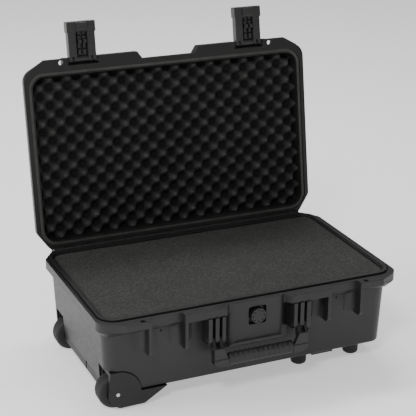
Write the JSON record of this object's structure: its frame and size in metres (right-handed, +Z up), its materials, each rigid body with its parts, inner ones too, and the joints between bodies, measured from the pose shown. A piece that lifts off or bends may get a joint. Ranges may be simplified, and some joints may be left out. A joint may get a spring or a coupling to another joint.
{
  "type": "hard equipment case",
  "caption": "Wheeled hard equipment case standing open, with foam inside, latches on a hinged lid, a folding carry handle, a pressure valve and a telescopic pull handle.",
  "frame": {"origin": "middle of the open case's footprint on the ground", "axes": "+X along the case's length, away from the wheels; +Y from the latch side to the hinge side; +Z up"},
  "size_m": [0.551, 0.4602, 0.5644],
  "materials": {
    "case_plastic": "dark charcoal, fine moulded grain",
    "latch_plastic": "dark charcoal, moulded",
    "handle_plastic": "dark charcoal, moulded",
    "grip_rubber": "ribbed soft rubber",
    "base_foam": "open-cell foam",
    "lid_foam": "convoluted open-cell foam",
    "gasket_rubber": "smooth seal rubber",
    "valve_plastic": "moulded",
    "valve_film": "thin breathing film",
    "pin_steel": "ground steel rod",
    "spring_steel": "oiled spring strip",
    "screw_steel": "zinc-plated screw",
    "tyre_rubber": "solid tyre",
    "wheel_plastic": "moulded hub",
    "bush_plastic": "low-friction bush",
    "foot_rubber": "solid rubber",
    "tube_aluminium": "drawn, satin anodised"
  },
  "bodies": {
    "base": {"base_shell": "case_plastic", "foam_pluck_upper": "base_foam", "foam_pluck_lower": "base_foam", "foam_floor_pad": "base_foam", "valve_seal": "gasket_rubber", "valve_body": "valve_plastic", "valve_membrane": "valve_film", "valve_cap": "valve_plastic", "hinge_pins": "pin_steel", "handle_pins": "pin_steel", "wheel_housing_front": "case_plastic", "wheel_housing_back": "case_plastic", "axle_front": "pin_steel", "axle_back": "pin_steel", "housing_screws": "screw_steel", "rubber_feet": "foot_rubber", "foot_screws": "screw_steel", "pull_outer_tubes": "tube_aluminium", "pull_end_bracket": "case_plastic", "pull_guide": "case_plastic", "pull_screws": "screw_steel"},
    "lid": {"lid_shell": "case_plastic", "lid_gasket": "gasket_rubber", "lid_foam": "lid_foam", "latch_pins": "pin_steel"},
    "latch_left_arm": {"latch_left": "latch_plastic", "latch_spring_left": "spring_steel"},
    "latch_right_arm": {"latch_right": "latch_plastic", "latch_spring_right": "spring_steel"},
    "latch_left_button": {"latch_button_left": "latch_plastic"},
    "latch_right_button": {"latch_button_right": "latch_plastic"},
    "carry_handle": {"handle_frame": "handle_plastic", "handle_grip": "grip_rubber"},
    "wheel_front": {"wheel_tyre_front": "tyre_rubber", "wheel_hub_front": "wheel_plastic", "wheel_bushes_front": "bush_plastic"},
    "wheel_back": {"wheel_tyre_back": "tyre_rubber", "wheel_hub_back": "wheel_plastic", "wheel_bushes_back": "bush_plastic"},
    "pull_stage_one": {"pull_middle_tubes": "tube_aluminium"},
    "pull_stage_two": {"pull_inner_tubes": "tube_aluminium", "pull_grip": "handle_plastic"},
    "pull_release": {"pull_button": "latch_plastic"}
  },
  "joints": [
    {"name": "lid_hinge", "type": "hinge", "parent": "base", "child": "lid", "pos_m": [0, 0.12637, 0.1628], "axis": [1, 0, 0], "range_deg": [0, 99]},
    {"name": "latch_left_swing", "type": "hinge", "parent": "lid", "child": "latch_left_arm", "pos_m": [-0.163, 0.19198, 0.49715], "axis": [1, 0, 0], "range_deg": [0, 90]},
    {"name": "latch_right_swing", "type": "hinge", "parent": "lid", "child": "latch_right_arm", "pos_m": [0.163, 0.19198, 0.49715], "axis": [1, 0, 0], "range_deg": [0, 90]},
    {"name": "latch_left_press", "type": "slide", "parent": "latch_left_arm", "child": "latch_left_button", "axis": [0, -0.9877, 0.1564], "range_m": [0, 0.003], "stiffness_N_per_m": 300, "springref_m": -0.002},
    {"name": "latch_right_press", "type": "slide", "parent": "latch_right_arm", "child": "latch_right_button", "axis": [0, -0.9877, 0.1564], "range_m": [0, 0.003], "stiffness_N_per_m": 300, "springref_m": -0.002},
    {"name": "carry_handle_swing", "type": "hinge", "parent": "base", "child": "carry_handle", "pos_m": [0, -0.21313, 0.11], "axis": [-1, 0, 0], "range_deg": [0, 90]},
    {"name": "wheel_front_spin", "type": "hinge", "parent": "base", "child": "wheel_front", "pos_m": [-0.242, -0.16643, 0.0295], "axis": [0, 1, 0], "continuous": true},
    {"name": "wheel_back_spin", "type": "hinge", "parent": "base", "child": "wheel_back", "pos_m": [-0.242, 0.06487, 0.0295], "axis": [0, 1, 0], "continuous": true},
    {"name": "pull_stage_one_slide", "type": "slide", "parent": "base", "child": "pull_stage_one", "axis": [1, 0, 0], "range_m": [0, 0.2]},
    {"name": "pull_stage_two_slide", "type": "slide", "parent": "pull_stage_one", "child": "pull_stage_two", "axis": [1, 0, 0], "range_m": [0, 0.2]},
    {"name": "pull_release_press", "type": "slide", "parent": "pull_stage_two", "child": "pull_release", "axis": [-1, 0, 0], "range_m": [0, 0.0025], "stiffness_N_per_m": 300, "springref_m": -0.002}
  ]
}
